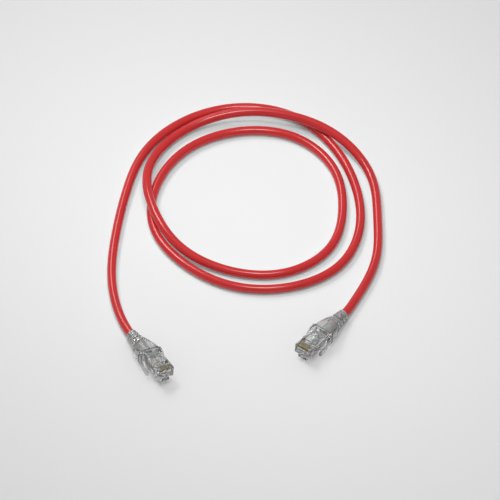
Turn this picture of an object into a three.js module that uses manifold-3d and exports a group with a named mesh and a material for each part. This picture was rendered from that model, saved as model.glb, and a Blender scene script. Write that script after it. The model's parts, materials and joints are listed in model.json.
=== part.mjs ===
// A round network patch cord with a clear eight-way modular plug and a moulded boot at each end.
// Millimetres, +Z up. The cord lies on the plane z = 0. The frame's origin is under the middle of
// the two plug ends. Each plug end is drawn in its own frame: x across the plug, y rearward from
// the nose's front face, z up to the contact side, with the origin on the cord's axis at the nose.

import * as THREE from "three";
import { mergeVertices } from "three/addons/utils/BufferGeometryUtils.js";
import Module from "manifold-3d";

const wasm = await Module();
wasm.setup();

// Clearance between pieces that touch
const GAP = 0.3;

// How far a cut runs past the face that it opens
const CUT = 1;

// Cord
const CORD_R = 2.95;
const CORD_SIDES = 12;
const CORD_STEPS = 80;
const BORE_R = CORD_R + GAP;

// Plug housing: standard eight-way modular plug
const PLUG_W = 11.68;
const PLUG_L = 21.46;
const HALF_H = 4.0;
const NOSE_H = 6.6;
const NOSE_BOTTOM = HALF_H - NOSE_H;
const STEP_Y = 12.3;
const STEP_RUN = 1.4;
const EDGE_CHAMFER = 0.45;

// Contacts
const CONTACTS = 8;
const PITCH = 1.02;
const BLADE_T = 0.3;
const BLADE = { front: 0.9, back: 4.1, top: 3.4, bottom: 1.0, noseR: 0.8, tooth: 0.45 };
const SLOT = { half: 0.27, front: 0.5, back: 4.3, bottom: 0.7, lip: 2.2, lipBack: 0.6 };

// Openings of the housing on the contact side
const RECESS = { half: 5.2, front: 4.9, back: 7.8, floor: 2.9 };
const BAR_WINDOW = { half: 4.2, front: 5.2, back: 7.5, bottom: 1.3 };
const GRIP_WINDOW = { half: 4.2, front: 16.2, back: 19.4, bottom: 3.0 };

// Hollows inside the housing, from the nose to the rear
const WIRE_Z = 0.3;
const WIRE_R = 0.36;
const NOSE_CHANNEL = { half: 4.5, front: 1.2, back: 5.0, low: -0.3, high: 0.9 };
const BAR_CHANNEL = { half: 4.6, front: 4.95, back: 9.0, low: -0.9, high: 1.5 };
const FAN_CAVITY = { half: 4.6, front: 8.9, back: 14.1, low: -2.15, high: 2.6 };
const CORD_CAVITY = { half: 5.0, front: 14.0, back: PLUG_L + CUT, low: -BORE_R, high: BORE_R };

// Pieces inside the housing
const LOAD_BAR = { half: 4.3, front: 5.3, back: 8.5, low: -0.6, high: 1.2 };
const GROOVE = { half: 0.41, floor: WIRE_Z - WIRE_R - 0.1 };
const JACKET_END_Y = 15.2;
const WIRE_FRONT_Y = 1.5;
const WIRE_BACK_Y = JACKET_END_Y - GAP;
const FAN_FRONT_Y = 9.2;
const WIRE_SIDES = 6;
const WIRE_STEPS = 10;

// Where each conductor leaves the cord, [x, z]: the four pairs sit in the separator's four bays
const BUNDLE = [
  [-2.05, 0],
  [-1.2, 0],
  [-0.45, 1.55],
  [-0.45, -1.55],
  [0.45, -1.55],
  [0.45, 1.55],
  [1.2, 0],
  [2.05, 0],
];
const SEPARATOR = { reach: 2.3, thick: 0.4, length: 1.7 };
const GRIP = { half: 3.9, front: 16.5, back: 19.1, low: 1.2, high: 3.7 };

// Latch lever under the plug
const LATCH = {
  wideHalf: 3.1,
  tailHalf: 1.62,
  shoulderY: 8.0,
  endY: 15.3,
  thick: 1.05,
  frontY: 0.4,
  rootBackY: 1.75,
  chinZ: -6.1,
  endZ: -6.75,
};

// The latch bends at its root, so it turns about this line across the plug
const LATCH_PIVOT = { y: 1.1, z: NOSE_BOTTOM - 0.6 };

// Boot: a square hood behind the housing with a bead round its rim, a flare, a round tail with
// slots cut through to the cord, and side cheeks that run forward past the housing to guard the latch
const HOOD = { half: 7.9, top: 5.3, rimY: PLUG_L + GAP, corner: 2.9 };
const FLARE = [
  { back: 0, inset: 0, thinner: 0, rounder: 0 },
  { back: 1, inset: 0, thinner: 0, rounder: 0 },
  { back: 1.15, inset: 0.35, thinner: 0.3, rounder: 0 },
  { back: 4.2, inset: 0.45, thinner: 0.3, rounder: 0.4 },
  { back: 8.8, inset: 1.2, thinner: 0.4, rounder: 1.3 },
  { back: 12.8, inset: 2.3, thinner: 0.6, rounder: 1.65 },
];
const TAIL = { startY: 33.5, endY: 45.5, joinY: 38.4, startR: 4.95, endR: 3.75 };
const TAIL_SKIN = 0.05;
const TAIL_SLOTS = { count: 6, firstY: 33.2, pitch: 1.9, width: 0.9, half: 2.9, floor: 2.2, reach: 8 };
const CHEEK_INNER = PLUG_W / 2 + GAP;

// One cheek from the side as [y, z] points, from its root's top round its front edge and its foot
const CHEEK = [
  [HOOD.rimY + 1, 3],
  [19.8, 3],
  [18.4, 2],
  [17, 0.2],
  [14, -2.4],
  [10.4, -5.2],
  [10, -6],
  [10.8, -6.6],
  [13, -6.5],
  [HOOD.rimY + 1, -3],
];
const ROUND_SIDES = 20;
const CORNER_STEPS = 4;

// How each end lies: place of the nose's front face, yaw of the nose, roll about its own axis
const ENDS = [
  { side: "a", nose: [-45.75, -27.7, 9.919], yawDeg: 29.2, rollDeg: 10 },
  { side: "b", nose: [41.5, -7.95, 8.509], yawDeg: -35.8, rollDeg: 0 },
];

// The cord's free route, from boot a to boot b: x, y, and height of its axis over resting height
const ROUTE = [
  [-74, 25.5, 0.1],
  [-80.5, 62, 0],
  [-78, 98.5, 0],
  [-71.5, 135, 0],
  [-59.5, 170, 0],
  [-34.5, 196.5, 0],
  [0, 208.5, 0],
  [35.5, 201, 0],
  [61.5, 175, 0],
  [75.5, 141.5, 0],
  [78.5, 104.5, 0],
  [65, 71, 0],
  [33.5, 53, 0],
  [-3, 54, 0],
  [-34, 73, 0],
  [-53.5, 104, 0],
  [-52, 140.5, 0],
  [-33, 171.5, 0],
  [0, 187.5, 0],
  [36, 183, 0],
  [61, 157, 0],
  [67.5, 121, 0],
  [58.5, 85.5, 0],
  [29.5, 65, 0],
  [-7, 67.5, 0.2],
  [-38, 86.5, 3.1],
  [-55, 118.5, 6.5],
  [-56.5, 155, 2.9],
  [-37, 185.5, 0.7],
  [-4, 199.5, 4.3],
  [32.5, 196, 6.4],
  [65, 178.5, 5.1],
  [85.5, 149.5, 0.5],
  [90, 113, 0],
  [88.5, 76, 0],
  [75.5, 42, 0.1],
];

// Materials
const CLEAR = { color: 0xd5d8da, roughness: 0.12, metalness: 0 };
const SMOKE = { color: 0x9b9d9f, roughness: 0.3, metalness: 0 };
const GOLD = { color: 0xb08a3a, roughness: 0.3, metalness: 1 };
const RED = { color: 0xc83238, roughness: 0.35, metalness: 0 };
const SPLINE_WHITE = { color: 0xd8d8d2, roughness: 0.6, metalness: 0 };
const WIRE_COLOURS = [0xd9b59b, 0xc4793f, 0xb5cbb0, 0x4e6f9e, 0xb0c0d4, 0x5c8f62, 0xc7b5a3, 0x7c5a41];

function surface(look) {
  return new THREE.MeshStandardMaterial(look);
}

// Geometry helpers
function solidOf(geometry) {
  const bare = geometry.index ? geometry.toNonIndexed() : geometry.clone();
  bare.deleteAttribute("normal");
  bare.deleteAttribute("uv");
  const merged = mergeVertices(bare, 1e-4);
  return new wasm.Manifold(
    new wasm.Mesh({
      numProp: 3,
      vertProperties: new Float32Array(merged.attributes.position.array),
      triVerts: new Uint32Array(merged.index.array),
    }),
  );
}

function geometryOf(solid) {
  const mesh = solid.getMesh();
  const geometry = new THREE.BufferGeometry();
  geometry.setAttribute("position", new THREE.BufferAttribute(mesh.vertProperties, 3));
  geometry.setIndex(new THREE.BufferAttribute(mesh.triVerts, 1));
  geometry.computeVertexNormals();
  return geometry;
}

function boxBetween(x0, x1, y0, y1, z0, z1) {
  const geometry = new THREE.BoxGeometry(x1 - x0, y1 - y0, z1 - z0);
  return solidOf(geometry.translate((x0 + x1) / 2, (y0 + y1) / 2, (z0 + z1) / 2));
}

// A box centred across the plug, from a size such as BAR_CHANNEL
function hollow(size) {
  return boxBetween(-size.half, size.half, size.front, size.back, size.low, size.high);
}

// A window cut down from above the contact side
function windowCut(size, floor) {
  return boxBetween(-size.half, size.half, size.front, size.back, floor, HALF_H + CUT);
}

// A side outline of [y, z] points, extruded from x0 to x1
function prism(outline, x0, x1) {
  const shape = new THREE.Shape(outline.map(([y, z]) => new THREE.Vector2(y, z)));
  const geometry = new THREE.ExtrudeGeometry(shape, { depth: x1 - x0, bevelEnabled: false });
  const turn = new THREE.Matrix4().set(0, 0, 1, x0, 1, 0, 0, 0, 0, 1, 0, 0, 0, 0, 0, 1);
  return solidOf(geometry.applyMatrix4(turn));
}

// A round bar or cone along y, of radius r0 at y0 and r1 at y1
function roundBar(r0, r1, y0, y1) {
  const geometry = new THREE.CylinderGeometry(r1, r0, y1 - y0, ROUND_SIDES);
  return solidOf(geometry.translate(0, (y0 + y1) / 2, 0));
}

function tubeAlong(curve, radius, sides, steps) {
  const corners = [];
  for (let i = 0; i < sides; i++) {
    const turn = (2 * Math.PI * (i + 0.5)) / sides;
    corners.push(new THREE.Vector2(radius * Math.cos(turn), radius * Math.sin(turn)));
  }
  const section = new THREE.Shape(corners);
  return new THREE.ExtrudeGeometry(section, { steps, extrudePath: curve, bevelEnabled: false });
}

// A closed skin over rings of equal length, each ring an array of Vector3 in the same order
function loft(rings) {
  const count = rings[0].length;
  const points = rings.flat();
  const faces = [];
  for (let r = 0; r + 1 < rings.length; r++) {
    for (let i = 0; i < count; i++) {
      const next = (i + 1) % count;
      const a = r * count + i;
      const b = r * count + next;
      faces.push(a, b, b + count, a, b + count, a + count);
    }
  }
  const last = (rings.length - 1) * count;
  for (let i = 1; i + 1 < count; i++) {
    faces.push(0, i + 1, i);
    faces.push(last, last + i, last + i + 1);
  }
  const geometry = new THREE.BufferGeometry().setFromPoints(points);
  geometry.setIndex(faces);
  return geometry;
}

// A rounded rectangle across the boot at y, run so that the loft's faces point out
function hoodRing(y, half, top, corner) {
  const ring = [];
  const centres = [
    [half - corner, top - corner, 0],
    [half - corner, corner - top, 1],
    [corner - half, corner - top, 2],
    [corner - half, top - corner, 3],
  ];
  for (const [cx, cz, quarter] of centres) {
    for (let i = 0; i <= CORNER_STEPS; i++) {
      const turn = (Math.PI / 2) * (1 - quarter - i / CORNER_STEPS);
      ring.push(new THREE.Vector3(cx + corner * Math.cos(turn), y, cz + corner * Math.sin(turn)));
    }
  }
  return ring;
}

// Sub-parts of one plug end
function contactX(i) {
  return (i - (CONTACTS - 1) / 2) * PITCH;
}

function housingShape() {
  const outline = [
    [0, NOSE_BOTTOM],
    [STEP_Y, NOSE_BOTTOM],
    [STEP_Y + STEP_RUN, -HALF_H],
    [PLUG_L, -HALF_H],
    [PLUG_L, HALF_H],
    [EDGE_CHAMFER, HALF_H],
    [0, HALF_H - EDGE_CHAMFER],
  ];
  let body = prism(outline, -PLUG_W / 2, PLUG_W / 2);
  for (const size of [NOSE_CHANNEL, BAR_CHANNEL, FAN_CAVITY, CORD_CAVITY]) {
    body = body.subtract(hollow(size));
  }
  body = body.subtract(windowCut(RECESS, RECESS.floor));
  body = body.subtract(windowCut(BAR_WINDOW, BAR_WINDOW.bottom));
  body = body.subtract(windowCut(GRIP_WINDOW, GRIP_WINDOW.bottom));
  for (let i = 0; i < CONTACTS; i++) {
    const x = contactX(i);
    const x0 = x - SLOT.half;
    const x1 = x + SLOT.half;
    body = body.subtract(boxBetween(x0, x1, SLOT.front, SLOT.back, SLOT.bottom, HALF_H + CUT));
    body = body.subtract(boxBetween(x0, x1, -CUT, SLOT.lipBack, SLOT.lip, HALF_H + CUT));
  }
  return geometryOf(body);
}

function bladeShape(i) {
  const { front, back, top, bottom, noseR, tooth } = BLADE;
  const outline = [];
  for (let k = 0; k <= CORNER_STEPS; k++) {
    const turn = (Math.PI / 2) * (1 + k / CORNER_STEPS);
    outline.push([front + noseR + noseR * Math.cos(turn), top - noseR + noseR * Math.sin(turn)]);
  }
  const third = (back - front) / 3;
  outline.push([front, bottom + tooth]);
  outline.push([front + third / 2, bottom]);
  outline.push([front + third, bottom + tooth]);
  outline.push([back - third, bottom + tooth]);
  outline.push([back - third / 2, bottom]);
  outline.push([back, bottom + tooth]);
  outline.push([back, top]);
  const x = contactX(i);
  return geometryOf(prism(outline, x - BLADE_T / 2, x + BLADE_T / 2));
}

function loadBarShape() {
  let bar = hollow(LOAD_BAR);
  const front = LOAD_BAR.front - CUT;
  const back = LOAD_BAR.back + CUT;
  for (let i = 0; i < CONTACTS; i++) {
    const x0 = contactX(i) - GROOVE.half;
    const x1 = contactX(i) + GROOVE.half;
    bar = bar.subtract(boxBetween(x0, x1, front, back, GROOVE.floor, LOAD_BAR.high + CUT));
  }
  return geometryOf(bar);
}

function conductorShape(i) {
  const [endX, endZ] = BUNDLE[i];
  const x = contactX(i);
  const run = WIRE_BACK_Y - FAN_FRONT_Y;
  const path = new THREE.CurvePath();
  const fanStart = new THREE.Vector3(x, FAN_FRONT_Y, WIRE_Z);
  const fanEnd = new THREE.Vector3(endX, WIRE_BACK_Y, endZ);
  path.add(new THREE.LineCurve3(new THREE.Vector3(x, WIRE_FRONT_Y, WIRE_Z), fanStart));
  path.add(
    new THREE.CubicBezierCurve3(
      fanStart,
      fanStart.clone().add(new THREE.Vector3(0, run / 2, 0)),
      fanEnd.clone().add(new THREE.Vector3(0, -run / 2, 0)),
      fanEnd,
    ),
  );
  return tubeAlong(path, WIRE_R, WIRE_SIDES, WIRE_STEPS);
}

function separatorShape() {
  const { reach, thick, length } = SEPARATOR;
  const arm = new THREE.BoxGeometry(2 * reach, length, thick);
  arm.translate(0, WIRE_BACK_Y - length / 2, 0);
  const first = solidOf(arm.clone().rotateY(Math.PI / 4));
  const second = solidOf(arm.rotateY(-Math.PI / 4));
  return geometryOf(first.add(second));
}

function gripShape() {
  const saddle = hollow(GRIP);
  const cord = roundBar(BORE_R, BORE_R, GRIP.front - CUT, GRIP.back + CUT);
  return geometryOf(saddle.subtract(cord));
}

function latchShape() {
  const { wideHalf, tailHalf, shoulderY, endY, thick, frontY, rootBackY, chinZ, endZ } = LATCH;
  const rootZ = NOSE_BOTTOM - GAP;
  const slope = (endZ - chinZ) / (endY - frontY);
  const underside = (y) => chinZ + slope * (y - frontY);
  const wide = [
    [frontY, rootZ],
    [frontY, chinZ + thick / 2],
    [frontY + thick / 2, chinZ],
    [shoulderY, underside(shoulderY)],
    [shoulderY, underside(shoulderY) + thick],
    [rootBackY + thick, chinZ + thick],
    [rootBackY, chinZ + 2 * thick],
    [rootBackY, rootZ],
  ];
  const tail = [
    [shoulderY - thick, underside(shoulderY - thick)],
    [endY, underside(endY)],
    [endY, underside(endY) + thick],
    [shoulderY - thick, underside(shoulderY - thick) + thick],
  ];
  const lever = prism(wide, -wideHalf, wideHalf).add(prism(tail, -tailHalf, tailHalf));
  return geometryOf(lever).translate(0, -LATCH_PIVOT.y, -LATCH_PIVOT.z);
}

function tailRadius(y) {
  const { startY, endY, startR, endR } = TAIL;
  return startR + ((endR - startR) * (y - startY)) / (endY - startY);
}

// Slots through the tail's wall: above and below the cord, then left and right of it, in turn
function tailSlots() {
  const { count, firstY, pitch, width, half, floor, reach } = TAIL_SLOTS;
  const slots = [];
  for (let i = 0; i < count; i++) {
    const y0 = firstY + i * pitch;
    const y1 = y0 + width;
    for (const [near, far] of [[floor, reach], [-reach, -floor]]) {
      const upright = boxBetween(-half, half, y0, y1, near, far);
      const level = boxBetween(near, far, y0, y1, -half, half);
      slots.push(i % 2 === 0 ? upright : level);
    }
  }
  return slots;
}

function bootShape() {
  const { half, top, rimY, corner } = HOOD;
  const rings = FLARE.map(({ back, inset, thinner, rounder }) =>
    hoodRing(rimY + back, half - inset, top - thinner, corner + rounder),
  );
  const joinR = tailRadius(TAIL.joinY);
  rings.push(hoodRing(TAIL.joinY, joinR, joinR, joinR - TAIL_SKIN));
  let boot = solidOf(loft(rings)).add(roundBar(TAIL.startR, TAIL.endR, TAIL.startY, TAIL.endY));
  boot = boot.add(prism(CHEEK, CHEEK_INNER, half));
  boot = boot.add(prism(CHEEK, -half, -CHEEK_INNER));
  for (const slot of tailSlots()) {
    boot = boot.subtract(slot);
  }
  return geometryOf(boot.subtract(roundBar(BORE_R, BORE_R, rimY - CUT, TAIL.endY + CUT)));
}

// How far one end is pitched: its tail lies on the surface, and the stiff cord holds its nose up
function pitchOf(noseZ) {
  const { endY, endR } = TAIL;
  return Math.asin(noseZ / Math.hypot(endY, endR)) - Math.atan(endR / endY);
}

function endGroup(end) {
  const { degToRad } = THREE.MathUtils;
  const group = new THREE.Group();
  group.position.set(...end.nose);
  group.rotation.order = "ZXY";
  group.rotation.set(-pitchOf(end.nose[2]), degToRad(end.rollDeg), degToRad(end.yawDeg));
  const add = (name, geometry, look) => {
    const mesh = new THREE.Mesh(geometry, surface(look));
    mesh.name = name + "_" + end.side;
    group.add(mesh);
    return mesh;
  };
  add("plug_housing", housingShape(), CLEAR);
  add("plug_latch", latchShape(), CLEAR).position.set(0, LATCH_PIVOT.y, LATCH_PIVOT.z);
  add("load_bar", loadBarShape(), CLEAR);
  add("cord_grip", gripShape(), CLEAR);
  add("pair_separator", separatorShape(), SPLINE_WHITE);
  add("boot", bootShape(), SMOKE);
  for (let i = 0; i < CONTACTS; i++) {
    add("contact_" + (i + 1), bladeShape(i), GOLD);
    const look = { color: WIRE_COLOURS[i], roughness: 0.5, metalness: 0 };
    add("conductor_" + (i + 1), conductorShape(i), look);
  }
  group.updateMatrixWorld(true);
  return group;
}

// A smooth curve through the route's points that never sinks below its resting height
class RestingCurve extends THREE.CatmullRomCurve3 {
  getPoint(t, target = new THREE.Vector3()) {
    super.getPoint(t, target);
    target.z = Math.max(target.z, CORD_R);
    return target;
  }
}

function buildCord(groups) {
  const alongAxis = (group, y) => group.localToWorld(new THREE.Vector3(0, y, 0));
  const [a, b] = groups;
  const straight = [JACKET_END_Y, (JACKET_END_Y + TAIL.endY) / 2, TAIL.endY + CORD_R];
  const points = [
    ...straight.map((y) => alongAxis(a, y)),
    ...ROUTE.map(([x, y, rise]) => new THREE.Vector3(x, y, CORD_R + rise)),
    ...straight.toReversed().map((y) => alongAxis(b, y)),
  ];
  const curve = new RestingCurve(points);
  const mesh = new THREE.Mesh(tubeAlong(curve, CORD_R, CORD_SIDES, CORD_STEPS), surface(RED));
  mesh.name = "cable_jacket";
  return mesh;
}

const cord = new THREE.Group();
const ends = ENDS.map(endGroup);
cord.add(...ends);
cord.add(buildCord(ends));

export default cord;
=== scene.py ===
"""A red network patch cord with a clear modular plug and a see-through boot at each end."""
import json
import math

import bmesh
import bpy
import numpy as np
from mathutils import Matrix, Vector


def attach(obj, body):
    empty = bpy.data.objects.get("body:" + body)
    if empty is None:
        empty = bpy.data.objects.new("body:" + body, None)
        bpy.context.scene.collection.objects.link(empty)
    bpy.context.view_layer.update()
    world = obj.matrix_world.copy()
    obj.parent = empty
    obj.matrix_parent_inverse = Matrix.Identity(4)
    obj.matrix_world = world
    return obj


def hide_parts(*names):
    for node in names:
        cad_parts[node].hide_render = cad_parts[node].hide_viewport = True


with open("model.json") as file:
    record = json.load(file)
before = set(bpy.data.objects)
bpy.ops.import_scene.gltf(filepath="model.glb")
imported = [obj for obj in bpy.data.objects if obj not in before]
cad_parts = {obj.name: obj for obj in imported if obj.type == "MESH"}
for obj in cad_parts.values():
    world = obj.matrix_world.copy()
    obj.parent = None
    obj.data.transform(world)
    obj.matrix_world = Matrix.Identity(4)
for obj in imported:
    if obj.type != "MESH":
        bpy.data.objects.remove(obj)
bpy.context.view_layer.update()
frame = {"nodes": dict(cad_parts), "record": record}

SCENE = bpy.context.scene
NODES = frame["nodes"]
MM = 0.001
SIDES = ("a", "b")

# Cord, in metres
CORD_D = 0.0059
CORD_R = CORD_D / 2
CORD_STEP = 0.0018
CORD_SIDES = 36
CORD_EASE = 3

# The jacket inside each plug and boot, along the plug's own axis, in millimetres from its nose
JACKET_STARTS_Y = 24.0
JACKET_MIDDLE_Y = 34.0
JACKET_LEAVES_Y = 48.45

# The cord's free route, from boot a to boot b: x, y, and height of its axis over resting height
ROUTE = [
    (-0.074, 0.0255, 0.0001),
    (-0.0805, 0.062, 0),
    (-0.078, 0.0985, 0),
    (-0.0715, 0.135, 0),
    (-0.0595, 0.17, 0),
    (-0.0345, 0.1965, 0),
    (0, 0.2085, 0),
    (0.0355, 0.201, 0),
    (0.0615, 0.175, 0),
    (0.0755, 0.1415, 0),
    (0.0785, 0.1045, 0),
    (0.065, 0.071, 0),
    (0.0335, 0.053, 0),
    (-0.003, 0.054, 0),
    (-0.034, 0.073, 0),
    (-0.0535, 0.104, 0),
    (-0.052, 0.1405, 0),
    (-0.033, 0.1715, 0),
    (0, 0.1875, 0),
    (0.036, 0.183, 0),
    (0.061, 0.157, 0),
    (0.0675, 0.121, 0),
    (0.0585, 0.0855, 0),
    (0.0295, 0.065, 0),
    (-0.007, 0.0675, 0.0002),
    (-0.038, 0.0865, 0.0031),
    (-0.055, 0.1185, 0.0065),
    (-0.0565, 0.155, 0.0029),
    (-0.037, 0.1855, 0.0007),
    (-0.004, 0.1995, 0.0043),
    (0.0325, 0.196, 0.0064),
    (0.065, 0.1785, 0.0051),
    (0.0855, 0.1495, 0.0005),
    (0.09, 0.113, 0),
    (0.0885, 0.076, 0),
    (0.0755, 0.042, 0.0001),
]

# Where the camera looks, and the width of the floor that its frame spans there
AIM = Vector((0.00807, 0.08756, 0))
ELEVATION_DEG = 48
FRAME_PIXELS = 500
PIXELS_PER_METRE = 1559
LENS_MM = 1500
SENSOR_MM = 36

# Lights: places and sizes in metres, powers in watts
KEY_TARGET = Vector((0.01, 0.11, 0))
KEY_OFFSET = Vector((-0.42, 0.38, 0.85))
KEY_CONE_DEG = 28
KEY_RADIUS = 0.2
KEY_POWER = 19
SOFTBOX_TARGET = Vector((0, 0.12, 0))
OVERHEAD_PLACE = Vector((0, 0, 1))
REAR_PLACE = Vector((-0.36, 0.9, 0.85))

# Sky: its colour at the horizon and from a height of SKY_TOP_AT up, and its strength
SKY_HORIZON = (0.80, 0.805, 0.81, 1)
SKY_TOP = (1, 1, 1, 1)
SKY_TOP_AT = 0.75
SKY_STRENGTH = 0.48


# Places
def plug_frame(side):
    """The matrix from a plug's own millimetres to the row frame, read from the plug's two mounts."""
    mounts = {m["name"]: m for m in frame["record"]["mounts"]}
    mating = mounts["mating_face_" + side]
    along = -Vector(mating["axis"]).normalized()
    up = Vector(mounts["contact_side_" + side]["axis"]).normalized()
    across = along.cross(up)
    turn = Matrix((across, along, up)).transposed().to_4x4()
    mating_face_z = -1.2
    origin = Vector(mating["pos_m"]) - up * mating_face_z * MM
    return Matrix.Translation(origin) @ turn @ Matrix.Scale(MM, 4)


PLUG = {side: plug_frame(side) for side in SIDES}


def on_axis(side, y):
    """The point on a plug's axis at y millimetres behind its nose."""
    return PLUG[side] @ Vector((0, y, 0))


# Camera, lights and floor
def make_camera():
    camera = bpy.data.cameras.new("camera")
    camera.lens = LENS_MM
    camera.sensor_width = SENSOR_MM
    camera.clip_end = 50
    holder = bpy.data.objects.new("camera", camera)
    elevation = math.radians(ELEVATION_DEG)
    back = Vector((0, -math.cos(elevation), math.sin(elevation)))
    span = FRAME_PIXELS / PIXELS_PER_METRE
    holder.location = AIM + back * span * LENS_MM / SENSOR_MM
    holder.rotation_euler = (math.pi / 2 - elevation, 0, 0)
    SCENE.collection.objects.link(holder)
    SCENE.camera = holder


def hang(light, place, target):
    """Hangs a light at a place and turns it to its target."""
    holder = bpy.data.objects.new(light.name, light)
    holder.location = place
    holder.rotation_euler = (target - place).to_track_quat("-Z", "Y").to_euler()
    SCENE.collection.objects.link(holder)
    return holder


def softbox(name, place, width, depth, power):
    light = bpy.data.lights.new(name, "AREA")
    light.shape = "RECTANGLE"
    light.size = width
    light.size_y = depth
    light.energy = power
    holder = hang(light, place, SOFTBOX_TARGET)
    holder.visible_camera = False


def make_lights():
    """A soft key from the left and behind that fades to its edge, and softboxes overhead and behind."""
    key = bpy.data.lights.new("key", "SPOT")
    key.energy = KEY_POWER
    key.shadow_soft_size = KEY_RADIUS
    key.spot_size = math.radians(KEY_CONE_DEG)
    key.spot_blend = 1
    hang(key, KEY_TARGET + KEY_OFFSET, KEY_TARGET)
    softbox("overhead", OVERHEAD_PLACE, 0.28, 0.22, 2.7)
    softbox("rear", REAR_PLACE, 0.3, 0.3, 1.6)


def make_world():
    """A pale sky that is a little darker at the horizon."""
    world = bpy.data.worlds.new("studio")
    world.use_nodes = True
    tree = world.node_tree
    tree.nodes.clear()
    coordinate = tree.nodes.new("ShaderNodeTexCoord")
    split = tree.nodes.new("ShaderNodeSeparateXYZ")
    ramp = tree.nodes.new("ShaderNodeValToRGB")
    background = tree.nodes.new("ShaderNodeBackground")
    output = tree.nodes.new("ShaderNodeOutputWorld")
    ramp.color_ramp.elements[0].color = SKY_HORIZON
    ramp.color_ramp.elements[1].position = SKY_TOP_AT
    ramp.color_ramp.elements[1].color = SKY_TOP
    tree.links.new(coordinate.outputs["Generated"], split.inputs[0])
    tree.links.new(split.outputs["Z"], ramp.inputs[0])
    tree.links.new(ramp.outputs[0], background.inputs["Color"])
    background.inputs["Strength"].default_value = SKY_STRENGTH
    tree.links.new(background.outputs[0], output.inputs[0])
    SCENE.world = world


# Materials
NOISE_LOW = 0.3
NOISE_HIGH = 0.7


class Look:
    """A Principled material whose colour, roughness and bump come from procedural nodes."""

    def __init__(self, name, **sockets):
        self.material = bpy.data.materials.new(name)
        self.material.use_nodes = True
        self.tree = self.material.node_tree
        self.shader = self.tree.nodes["Principled BSDF"]
        self.coordinate = self.tree.nodes.new("ShaderNodeTexCoord").outputs["Object"]
        for socket, value in sockets.items():
            self.shader.inputs[socket.replace("_", " ")].default_value = value

    def noise(self, scale, detail=3.0, stretch=(1, 1, 1)):
        """Noise with cells of about 1/scale metres, stretched along the row's axes."""
        mapping = self.tree.nodes.new("ShaderNodeMapping")
        mapping.inputs["Scale"].default_value = stretch
        texture = self.tree.nodes.new("ShaderNodeTexNoise")
        texture.inputs["Scale"].default_value = scale
        texture.inputs["Detail"].default_value = detail
        self.tree.links.new(self.coordinate, mapping.inputs["Vector"])
        self.tree.links.new(mapping.outputs[0], texture.inputs["Vector"])
        return texture.outputs["Fac"]

    def colour(self, factor, dark, light):
        """Base colour from dark to light over the noise's middle range."""
        ramp = self.tree.nodes.new("ShaderNodeValToRGB")
        ramp.color_ramp.elements[0].position = NOISE_LOW
        ramp.color_ramp.elements[0].color = (*dark, 1)
        ramp.color_ramp.elements[1].position = NOISE_HIGH
        ramp.color_ramp.elements[1].color = (*light, 1)
        self.tree.links.new(factor, ramp.inputs[0])
        self.tree.links.new(ramp.outputs[0], self.shader.inputs["Base Color"])

    def roughness(self, factor, low, high):
        spread = self.tree.nodes.new("ShaderNodeMapRange")
        spread.inputs["From Min"].default_value = NOISE_LOW
        spread.inputs["From Max"].default_value = NOISE_HIGH
        spread.inputs["To Min"].default_value = low
        spread.inputs["To Max"].default_value = high
        self.tree.links.new(factor, spread.inputs["Value"])
        self.tree.links.new(spread.outputs[0], self.shader.inputs["Roughness"])

    def bump(self, height, strength, distance):
        """Bump of this strength and depth in metres."""
        bump = self.tree.nodes.new("ShaderNodeBump")
        bump.inputs["Strength"].default_value = strength
        bump.inputs["Distance"].default_value = distance
        self.tree.links.new(height, bump.inputs["Height"])
        self.tree.links.new(bump.outputs[0], self.shader.inputs["Normal"])

    def on_rays(self, kind, shader, level):
        """Rays of this kind meet a plain grey shader in place of the surface."""
        path = self.tree.nodes.new("ShaderNodeLightPath")
        plain = self.tree.nodes.new(shader)
        plain.inputs["Color"].default_value = (level, level, level, 1)
        mix = self.tree.nodes.new("ShaderNodeMixShader")
        output = self.tree.nodes["Material Output"]
        self.tree.links.new(path.outputs[kind], mix.inputs[0])
        self.tree.links.new(self.shader.outputs[0], mix.inputs[1])
        self.tree.links.new(plain.outputs[0], mix.inputs[2])
        self.tree.links.new(mix.outputs[0], output.inputs["Surface"])

    def passes_light(self, share):
        """Lets this share of each lamp's light straight through the surface, so its shadow is pale."""
        self.on_rays("Is Shadow Ray", "ShaderNodeBsdfTransparent", share)

    def bounces_grey(self, level):
        """Lights the floor beside it as a grey surface would, so the floor keeps its neutral tone."""
        self.on_rays("Is Diffuse Ray", "ShaderNodeBsdfDiffuse", level)


def jacket_look():
    look = Look("red_jacket", IOR=1.5, Specular_IOR_Level=0.6)
    look.colour(look.noise(60), (0.56, 0.012, 0.014), (0.61, 0.016, 0.018))
    look.roughness(look.noise(900), 0.17, 0.22)
    look.bump(look.noise(2500), 0.04, 0.0001)
    look.bounces_grey(0.8)
    return look.material


def clear_look():
    look = Look("clear_plastic", IOR=1.40, Transmission_Weight=0.96)
    look.colour(look.noise(300), (0.83, 0.832, 0.83), (0.88, 0.882, 0.88))
    look.roughness(look.noise(1200), 0.02, 0.05)
    look.bump(look.noise(500, 1.0), 0.02, 0.0001)
    look.passes_light(0.74)
    return look.material


def grip_look():
    look = Look("frosted_grip", IOR=1.45, Transmission_Weight=0.5)
    look.colour(look.noise(400), (0.42, 0.422, 0.42), (0.50, 0.502, 0.50))
    look.roughness(look.noise(1500), 0.30, 0.40)
    look.bump(look.noise(2600, 2.0), 0.08, 0.0001)
    return look.material


def smoke_look():
    look = Look("smoky_boot", IOR=1.37, Transmission_Weight=0.95)
    look.colour(look.noise(250), (0.77, 0.772, 0.77), (0.83, 0.832, 0.83))
    look.roughness(look.noise(1500), 0.02, 0.05)
    look.bump(look.noise(700, 2.0), 0.03, 0.0001)
    look.passes_light(0.66)
    return look.material


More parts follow.
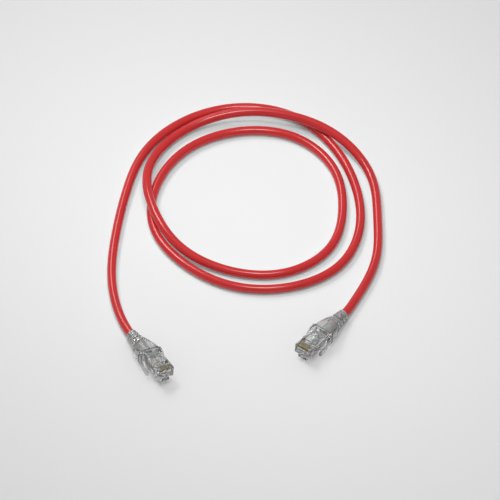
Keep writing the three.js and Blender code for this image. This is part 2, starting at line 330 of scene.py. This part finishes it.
def bore_look():
    look = Look("frosted_bore", IOR=1.45, Transmission_Weight=0.2, Coat_Weight=1, Coat_Roughness=0.1)
    look.colour(look.noise(350), (0.36, 0.362, 0.36), (0.46, 0.462, 0.46))
    look.roughness(look.noise(1500), 0.3, 0.4)
    look.bump(look.noise(1800, 2.0), 0.06, 0.0001)
    return look.material


def gold_look():
    look = Look("gold_contact", Metallic=1.0)
    look.colour(look.noise(900), (0.52, 0.39, 0.14), (0.62, 0.48, 0.19))
    look.roughness(look.noise(3000, 3.0, (1, 6, 1)), 0.32, 0.46)
    look.bump(look.noise(6000), 0.08, 0.00005)
    return look.material


def spline_look():
    look = Look("spline_plastic", IOR=1.5)
    look.colour(look.noise(800), (0.72, 0.72, 0.69), (0.80, 0.80, 0.77))
    look.roughness(look.noise(1500), 0.45, 0.6)
    look.bump(look.noise(3000), 0.1, 0.0001)
    return look.material


def wire_look(name, dark, light):
    look = Look(name, IOR=1.5)
    look.colour(look.noise(1100), dark, light)
    look.roughness(look.noise(2500), 0.35, 0.5)
    look.bump(look.noise(5000), 0.06, 0.00005)
    return look.material


def copper_look():
    look = Look("copper", Metallic=1.0)
    look.colour(look.noise(2500), (0.50, 0.30, 0.21), (0.62, 0.38, 0.27))
    look.roughness(look.noise(5000), 0.25, 0.4)
    return look.material


def floor_look():
    look = Look("floor")
    look.colour(look.noise(3), (0.83, 0.83, 0.83), (0.84, 0.84, 0.84))
    look.roughness(look.noise(60), 0.75, 0.85)
    return look.material


# Meshes
def object_from(name, vertices, faces):
    mesh = bpy.data.meshes.new(name)
    mesh.from_pydata([tuple(v) for v in vertices], [], [tuple(f) for f in faces])
    mesh.validate()
    made = bpy.data.objects.new(name, mesh)
    SCENE.collection.objects.link(made)
    return made


def loft(name, rings):
    """A closed skin over rings of equal length, with a flat cap at each end, faces pointing out."""
    count = len(rings[0])
    faces = []
    for r in range(len(rings) - 1):
        for i in range(count):
            a = r * count + i
            b = r * count + (i + 1) % count
            faces.append((a, b, b + count, a + count))
    faces.append(tuple(reversed(range(count))))
    last = (len(rings) - 1) * count
    faces.append(tuple(last + i for i in range(count)))
    made = object_from(name, [v for ring in rings for v in ring], faces)
    face_out(made)
    return made


def face_out(piece):
    net = bmesh.new()
    net.from_mesh(piece.data)
    bmesh.ops.recalc_face_normals(net, faces=net.faces)
    net.to_mesh(piece.data)
    net.free()


def box(x0, x1, y0, y1, z0, z1):
    corners = [(x, y, z) for x in (x0, x1) for y in (y0, y1) for z in (z0, z1)]
    faces = [(0, 1, 3, 2), (4, 6, 7, 5), (0, 4, 5, 1), (2, 3, 7, 6), (0, 2, 6, 4), (1, 5, 7, 3)]
    return object_from("box", corners, faces)


def prism(outline, x0, x1):
    """A side outline of (y, z) points, drawn out from x0 to x1."""
    return loft("prism", [[(x, y, z) for y, z in outline] for x in (x0, x1)])


def tube_rings(line, radius, sides):
    """Rings of a tube round a line of points, kept upright."""
    points = np.array(line, float)
    tangent = np.gradient(points, axis=0)
    tangent /= np.linalg.norm(tangent, axis=1)[:, None]
    side = np.cross(tangent, (0.0, 0.0, 1.0))
    side /= np.linalg.norm(side, axis=1)[:, None]
    up = np.cross(side, tangent)
    turn = np.linspace(0, 2 * math.pi, sides, endpoint=False)
    ring = np.cos(turn)[None, :, None] * side[:, None] + np.sin(turn)[None, :, None] * up[:, None]
    return points[:, None] + radius * ring


def modified(piece):
    """The piece with its modifiers applied."""
    graph = bpy.context.evaluated_depsgraph_get()
    mesh = bpy.data.meshes.new_from_object(piece.evaluated_get(graph))
    piece.modifiers.clear()
    piece.data = mesh
    return piece


def combine(target, tools, operation):
    """Joins the tools to the target or cuts them from it, and removes them."""
    for tool in tools:
        step = target.modifiers.new(operation, "BOOLEAN")
        step.operation = operation
        step.solver = "EXACT"
        step.object = tool
        modified(target)
        bpy.data.objects.remove(tool)
    return target


def rounded(piece, width, segments=2, angle_deg=35):
    bevel = piece.modifiers.new("round", "BEVEL")
    bevel.width = width
    bevel.segments = segments
    bevel.limit_method = "ANGLE"
    bevel.angle_limit = math.radians(angle_deg)
    bevel.miter_outer = "MITER_ARC"
    return piece


def smooth(piece, angle_deg=35):
    piece.data.polygons.foreach_set("use_smooth", [True] * len(piece.data.polygons))
    piece.data.set_sharp_from_angle(angle=math.radians(angle_deg))
    piece.data.update()
    return piece


def finish_piece(piece, name, side, body, node, looks):
    """Takes a piece from its plug's millimetres to the row frame, dresses it and lets it ride."""
    piece.name = name + "_" + side
    piece.data.name = piece.name
    piece.data.transform(PLUG[side])
    piece.data.materials.clear()
    for look in looks:
        piece.data.materials.append(look)
    smooth(piece)
    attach(piece, body)
    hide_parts(node)
    return piece


# Cord
def natural_spline(points, step):
    """A natural cubic spline through the points over their chord length, sampled about every step."""
    knots = np.array(points, float)
    spans = np.linalg.norm(np.diff(knots, axis=0), axis=1)
    at = np.concatenate([[0], np.cumsum(spans)])
    count = len(knots)
    system = np.eye(count)
    right = np.zeros_like(knots)
    for i in range(1, count - 1):
        before, after = spans[i - 1], spans[i]
        system[i, i - 1 : i + 2] = before, 2 * (before + after), after
        slope_after = (knots[i + 1] - knots[i]) / after
        slope_before = (knots[i] - knots[i - 1]) / before
        right[i] = 6 * (slope_after - slope_before)
    bend = np.linalg.solve(system, right)
    where = np.linspace(0, at[-1], math.ceil(at[-1] / step) + 1)
    i = np.clip(np.searchsorted(at, where, side="right") - 1, 0, count - 2)
    span = spans[i][:, None]
    t = (where - at[i])[:, None]
    rest = span - t
    curved = bend[i] * rest**3 + bend[i + 1] * t**3
    start = (knots[i] / span - bend[i] * span / 6) * rest
    end = (knots[i + 1] / span - bend[i + 1] * span / 6) * t
    return curved / (6 * span) + start + end


def resting(line, lowest, reach):
    """The line kept at or above its resting height, its height eased over reach points each way."""
    held = line.copy()
    held[:, 2] = np.maximum(held[:, 2], lowest)
    padded = np.pad(held[:, 2], reach, mode="edge")
    held[:, 2] = np.convolve(padded, np.ones(2 * reach + 1) / (2 * reach + 1), mode="valid")
    return held


def make_cord(look, cut_end):
    inside = (JACKET_STARTS_Y, JACKET_MIDDLE_Y, JACKET_LEAVES_Y)
    points = [on_axis("a", y) for y in inside]
    points += [Vector((x, y, CORD_R + rise)) for x, y, rise in ROUTE]
    points += [on_axis("b", y) for y in reversed(inside)]
    line = resting(natural_spline(points, CORD_STEP), CORD_R, CORD_EASE)
    cord = loft("jacket", tube_rings(line, CORD_R, CORD_SIDES))
    cord.data.materials.append(look)
    cord.data.materials.append(cut_end)
    caps = list(cord.data.polygons)[-2:]
    for cap in caps:
        cap.material_index = 1
    smooth(cord)
    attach(cord, "cord")
    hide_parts("cable_jacket")


# Plug housing, in the plug's own millimetres: x across, y rearward from the nose, z up to the contacts
PLUG_HALF_W = 5.84
PLUG_L = 21.46
HALF_H = 4.0
NOSE_BOTTOM = -2.6
CONTACTS = 8
PITCH = 1.02
CUT = 1.0

# The contacts: their slots, and the blades with a rounded nose and two teeth
SLOT_HALF_W = 0.42
BLADE_HALF_W = 0.31
BLADE_FRONT = 0.85
BLADE_BACK = 4.1
BLADE_TOP = 3.55
BLADE_NOSE_R = 0.8
TEETH_Y = (1.4, 3.55)
TOOTH_HALF = 0.55
TOOTH_ROOT_Z = 1.45
TOOTH_TIP_Z = 1.0


def contact_x(i):
    return (i - (CONTACTS - 1) / 2) * PITCH


def make_housing(side, look):
    outline = [
        (0, NOSE_BOTTOM),
        (12.3, NOSE_BOTTOM),
        (13.7, -HALF_H),
        (PLUG_L, -HALF_H),
        (PLUG_L, HALF_H),
        (0.45, HALF_H),
        (0, HALF_H - 0.45),
    ]
    body = prism(outline, -PLUG_HALF_W, PLUG_HALF_W)
    above = HALF_H + CUT
    wire_ends = box(-4.5, 4.5, 1.2, 5.0, -0.3, 0.9)
    load_bar_seat = box(-4.6, 4.6, 4.95, 9.0, -0.9, 1.5)
    fan_room = box(-4.1, 4.1, 8.9, 14.1, -2.15, 2.6)
    cord_room = box(-4.1, 4.1, 14.0, PLUG_L + CUT, -3.25, 3.25)
    bar_step = box(-5.2, 5.2, 4.9, 7.8, 2.9, above)
    bar_window = box(-4.2, 4.2, 5.2, 7.5, 1.3, above)
    grip_window = box(-4.2, 4.2, 16.2, 19.4, 3.0, above)
    hollows = [wire_ends, load_bar_seat, fan_room, cord_room, bar_step, bar_window, grip_window]
    for i in range(CONTACTS):
        left = contact_x(i) - SLOT_HALF_W
        right = contact_x(i) + SLOT_HALF_W
        hollows.append(box(left, right, 0.5, 4.3, 0.7, above))
        hollows.append(box(left, right, -CUT, 0.6, 2.2, above))
    combine(body, hollows, "DIFFERENCE")
    rounded(body, 0.09)
    modified(body)
    finish_piece(body, "plug_body", side, "cord", "plug_housing_" + side, [look])


def make_latch(side, look):
    """The lever: a wide root under the nose, with its bend at the front, and a narrower tail."""
    wide = [
        (0.4, -2.9),
        (0.4, -5.6),
        (0.9, -6.1),
        (8.0, -6.43),
        (8.0, -5.38),
        (2.8, -5.05),
        (1.75, -4.0),
        (1.75, -2.9),
    ]
    tail = [(6.95, -6.385), (15.3, -6.75), (15.3, -5.7), (6.95, -5.335)]
    lever = combine(prism(wide, -3.1, 3.1), [prism(tail, -1.62, 1.62)], "UNION")
    rounded(lever, 0.16)
    modified(lever)
    body = "latch_" + side
    finish_piece(lever, "latch_lever", side, body, "plug_latch_" + side, [look])


def make_blade(side, i, look):
    """A gold plated blade: a rounded nose, and two teeth that pierce the wire below it."""
    y = BLADE_FRONT + BLADE_NOSE_R
    z = BLADE_TOP - BLADE_NOSE_R
    arc = [math.pi / 2 * (1 + k / 8) for k in range(9)]
    outline = [(y + BLADE_NOSE_R * math.cos(t), z + BLADE_NOSE_R * math.sin(t)) for t in arc]
    for tooth in TEETH_Y:
        outline.append((tooth - TOOTH_HALF, TOOTH_ROOT_Z))
        outline.append((tooth, TOOTH_TIP_Z))
        outline.append((tooth + TOOTH_HALF, TOOTH_ROOT_Z))
    outline.append((BLADE_BACK, BLADE_TOP))
    x = contact_x(i)
    blade = modified(rounded(prism(outline, x - BLADE_HALF_W, x + BLADE_HALF_W), 0.06, 2))
    node = "contact_%d_%s" % (i + 1, side)
    finish_piece(blade, "blade_%d" % (i + 1), side, "cord", node, [look])


# Boot
def rounded_ring(y, half, top, corner, arc=8):
    """A rounded rectangle across the boot at y, 2 half wide and 2 top high."""
    corner = min(corner, half, top)
    ring = []
    for quarter, (sx, sz) in enumerate([(1, 1), (-1, 1), (-1, -1), (1, -1)]):
        for i in range(arc + 1):
            turn = (quarter + i / arc) * math.pi / 2
            x = sx * (half - corner) + corner * math.cos(turn)
            z = sz * (top - corner) + corner * math.sin(turn)
            ring.append((x, y, z))
    return ring


# Boot sections: y, half width, half height and corner radius
BOOT_PROFILE = [
    (21.76, 7.55, 5.0, 2.9),
    (26.0, 7.45, 5.0, 3.3),
    (30.6, 6.7, 4.9, 4.2),
    (34.6, 5.6, 4.7, 4.5),
    (38.4, 4.46, 4.46, 4.46),
    (45.5, 3.75, 3.75, 3.75),
]
BOOT_FRONT = 21.76
BOOT_END = 45.5

# The shell's room round the plug and the inner wall, in the same form
BOOT_CAVITY = [
    (BOOT_FRONT - CUT, 6.85, 4.5, 2.5),
    (26.0, 6.8, 4.5, 3.0),
    (30.6, 6.0, 4.35, 3.7),
    (33.6, 4.8, 4.05, 3.9),
    (35.4, 3.5, 3.5, 3.5),
]

# The shell's bore, and the inner wall that fills it: y and radius, and the wall's bore
SHELL_BORE_FROM_Y = 35.2
SHELL_BORE_R = 3.46
BORE_WALL = [(22.1, 3.15), (22.4, 3.3), (33.2, 3.42), (BOOT_END - 0.2, 3.42)]
BORE_WALL_FROM_Y = 22.1
BORE_WALL_INNER_R = 3.02

BEAD = 0.35
BOOT_STEP = 0.8
TAIL_SLOTS = 6
SLOT_FIRST_Y = 33.2
SLOT_PITCH = 1.9
SLOT_WIDTH = 0.9
SLOT_HALF = 2.9
SLOT_FLOOR = 2.2
SLOT_REACH = 8.0

# Cheeks: inner face, outer face and bead, and the curve of the front edge as (y, z) points
CHEEK_INNER = 6.14
CHEEK_OUTER = 7.55
CHEEK_BEAD_W = 1.1
CHEEK_EDGE = [(22.4, 3.4), (20.0, 2.9), (18.5, 2.0), (17.0, 0.2), (14.0, -2.4), (10.6, -5.0)]
CHEEK_FOOT = [(10.0, -5.75), (10.05, -6.25), (10.7, -6.6), (13.0, -6.5)]
CHEEK_ROOT = [(22.4, -3.2), (22.4, 3.0)]


def round_bar(y0, y1, radius):
    return loft("bar", [rounded_ring(y, radius, radius, radius) for y in (y0, y1)])


def boot_section(y):
    """Half width, half height and corner radius at y, with the profile's knees rounded."""
    stations = np.array(BOOT_PROFILE)
    near = y + np.linspace(-1.2, 1.2, 5)
    return [float(np.interp(near, stations[:, 0], stations[:, k]).mean()) for k in (1, 2, 3)]


def boot_ring(y, proud=0.0):
    half, top, corner = boot_section(y)
    return rounded_ring(y, half + proud, top + proud, corner + proud)


def boot_body():
    """The hood with its bead, the flare and the tail, before anything is cut."""
    bead = ((0, 0.12), (0.1, 0.27), (0.25, BEAD), (0.85, BEAD), (1.0, 0.27), (1.1, 0.0))
    rings = [boot_ring(BOOT_FRONT + back, proud) for back, proud in bead]
    rings += [boot_ring(y) for y in np.arange(BOOT_FRONT + 1.6, BOOT_END - 0.8, BOOT_STEP)]
    rings += [boot_ring(BOOT_END - back, -inset) for back, inset in ((0.5, 0), (0.15, 0.08), (0, 0.3))]
    return loft("boot", rings)


def cheek_pieces(sign):
    """One cheek plate with the bead along its front edge, on the side of the boot given by sign."""
    edge = natural_spline(CHEEK_EDGE, 0.6)
    slope = np.gradient(edge, axis=0)
    slope /= np.linalg.norm(slope, axis=1)[:, None]
    behind = edge + CHEEK_BEAD_W * np.column_stack((-slope[:, 1], slope[:, 0])) * -1
    plate = [tuple(p) for p in edge] + CHEEK_FOOT + CHEEK_ROOT
    bead = [tuple(p) for p in edge] + [tuple(p) for p in behind[::-1]]
    made = []
    for outline, outer in ((plate, CHEEK_OUTER), (bead, CHEEK_OUTER + BEAD)):
        x0, x1 = sorted((sign * CHEEK_INNER, sign * outer))
        made.append(modified(rounded(prism(outline, x0, x1), 0.14, 2)))
    return made


def tail_slots():
    """Slots through the tail's wall: above and below the cord, then left and right of it, in turn."""
    slots = []
    for i in range(TAIL_SLOTS):
        y0 = SLOT_FIRST_Y + i * SLOT_PITCH
        y1 = y0 + SLOT_WIDTH
        for near, far in ((SLOT_FLOOR, SLOT_REACH), (-SLOT_REACH, -SLOT_FLOOR)):
            if i % 2 == 0:
                slots.append(box(-SLOT_HALF, SLOT_HALF, y0, y1, near, far))
            else:
                slots.append(box(near, far, y0, y1, -SLOT_HALF, SLOT_HALF))
    return slots


def make_boot(side, look):
    boot = boot_body()
    for sign in (1, -1):
        combine(boot, cheek_pieces(sign), "UNION")
    cavity = loft("cavity", [rounded_ring(*section) for section in BOOT_CAVITY])
    bore = round_bar(SHELL_BORE_FROM_Y, BOOT_END + CUT, SHELL_BORE_R)
    combine(boot, [cavity, bore, *tail_slots()], "DIFFERENCE")
    rounded(boot, 0.08, 2, 50)
    modified(boot)
    finish_piece(boot, "strain_boot", side, "cord", "boot_" + side, [look])


def make_bore_wall(side, look):
    """The boot's inner wall, frosted, which holds the jacket and hides it but for the slots."""
    wall = loft("wall", [rounded_ring(y, r, r, r) for y, r in BORE_WALL])
    bore = round_bar(BORE_WALL_FROM_Y - CUT, BOOT_END + CUT, BORE_WALL_INNER_R)
    combine(wall, [bore, *tail_slots()], "DIFFERENCE")
    finish_piece(wall, "boot_bore_wall", side, "cord", "boot_" + side, [look])


# Wires: level and side by side under the contacts, then eased into the bundle that enters the jacket
WIRE_R = 0.44
WIRE_Z = 0.3
WIRE_TIP_Y = 1.5
LEVEL_TO_Y = 9.0
FAN_FROM_Y = 9.2
FAN_LENGTH = 5.7
BUNDLE_Y = (17.0, 20.5, 24.6)
CORE_R = 0.2
CORE_PROUD = 0.06
CORE_REACH = 0.1

# Where each wire runs in the bundle, as (x, z)
BUNDLE = [
    (-2.05, 0),
    (-1.2, 0),
    (-0.45, 1.55),
    (-0.45, -1.55),
    (0.45, -1.55),
    (0.45, 1.55),
    (1.2, 0),
    (2.05, 0),
]
WIRE_SLOTS = [
    ("wire_white_orange", (0.52, 0.48, 0.44), (0.60, 0.57, 0.54)),
    ("wire_orange", (0.44, 0.34, 0.26), (0.50, 0.40, 0.31)),
    ("wire_white_green", (0.47, 0.51, 0.48), (0.56, 0.59, 0.56)),
    ("wire_blue", (0.22, 0.27, 0.34), (0.26, 0.31, 0.39)),
    ("wire_white_blue", (0.47, 0.50, 0.54), (0.56, 0.59, 0.62)),
    ("wire_green", (0.26, 0.34, 0.29), (0.30, 0.39, 0.33)),
    ("wire_white_brown", (0.50, 0.48, 0.46), (0.58, 0.56, 0.53)),
    ("wire_brown", (0.28, 0.24, 0.21), (0.33, 0.28, 0.25)),
]


def make_wire(side, i, insulation, copper):
    """One insulated wire from its tip to the jacket, with its copper core bare at the tip."""
    end_x, end_z = BUNDLE[i]
    x = contact_x(i)
    line = [(x, y, WIRE_Z) for y in np.linspace(WIRE_TIP_Y, LEVEL_TO_Y, 6)]
    for t in np.linspace(0, 1, 15):
        ease = t * t * (3 - 2 * t)
        line.append((x + (end_x - x) * ease, FAN_FROM_Y + FAN_LENGTH * t, WIRE_Z + (end_z - WIRE_Z) * ease))
    line += [(end_x, y, end_z) for y in BUNDLE_Y]
    wire = loft("wire", tube_rings(line, WIRE_R, 16))
    core_line = [(x, WIRE_TIP_Y - CORE_PROUD, WIRE_Z), (x, WIRE_TIP_Y + CORE_REACH, WIRE_Z)]
    core = loft("core", tube_rings(core_line, CORE_R, 12))
    combine(wire, [core], "UNION")
    node = "conductor_%d_%s" % (i + 1, side)
    finish_piece(wire, "wire_%d" % (i + 1), side, "cord", node, [insulation, copper])
    for face in wire.data.polygons:
        near = (PLUG[side].inverted() @ face.center) - Vector((x, WIRE_TIP_Y, WIRE_Z))
        if near.y < 0.01 and math.hypot(near.x, near.z) < CORE_R + 0.01:
            face.material_index = 1


def dress(node, look, width):
    """Gives a CAD node its material and rounds its edges."""
    piece = NODES[node]
    piece.data.materials.clear()
    piece.data.materials.append(look)
    rounded(piece, width * MM, 2)


def main():
    make_camera()
    white = spline_look()
    make_cord(jacket_look(), white)
    clear = clear_look()
    grip = grip_look()
    smoke = smoke_look()
    bore = bore_look()
    gold = gold_look()
    copper = copper_look()
    wires = [wire_look(*slot) for slot in WIRE_SLOTS]
    for side in SIDES:
        make_housing(side, clear)
        make_latch(side, clear)
        make_boot(side, smoke)
        make_bore_wall(side, bore)
        for i in range(CONTACTS):
            make_wire(side, i, wires[i], copper)
            make_blade(side, i, gold)
        dress("load_bar_" + side, grip, 0.06)
        dress("cord_grip_" + side, grip, 0.1)
        dress("pair_separator_" + side, white, 0.06)
    floor = object_from("floor", [(-4, -4, 0), (4, -4, 0), (4, 4, 0), (-4, 4, 0)], [(0, 1, 2, 3)])
    floor.data.materials.append(floor_look())
    make_lights()
    make_world()
    SCENE.view_settings.view_transform = "Standard"


main()
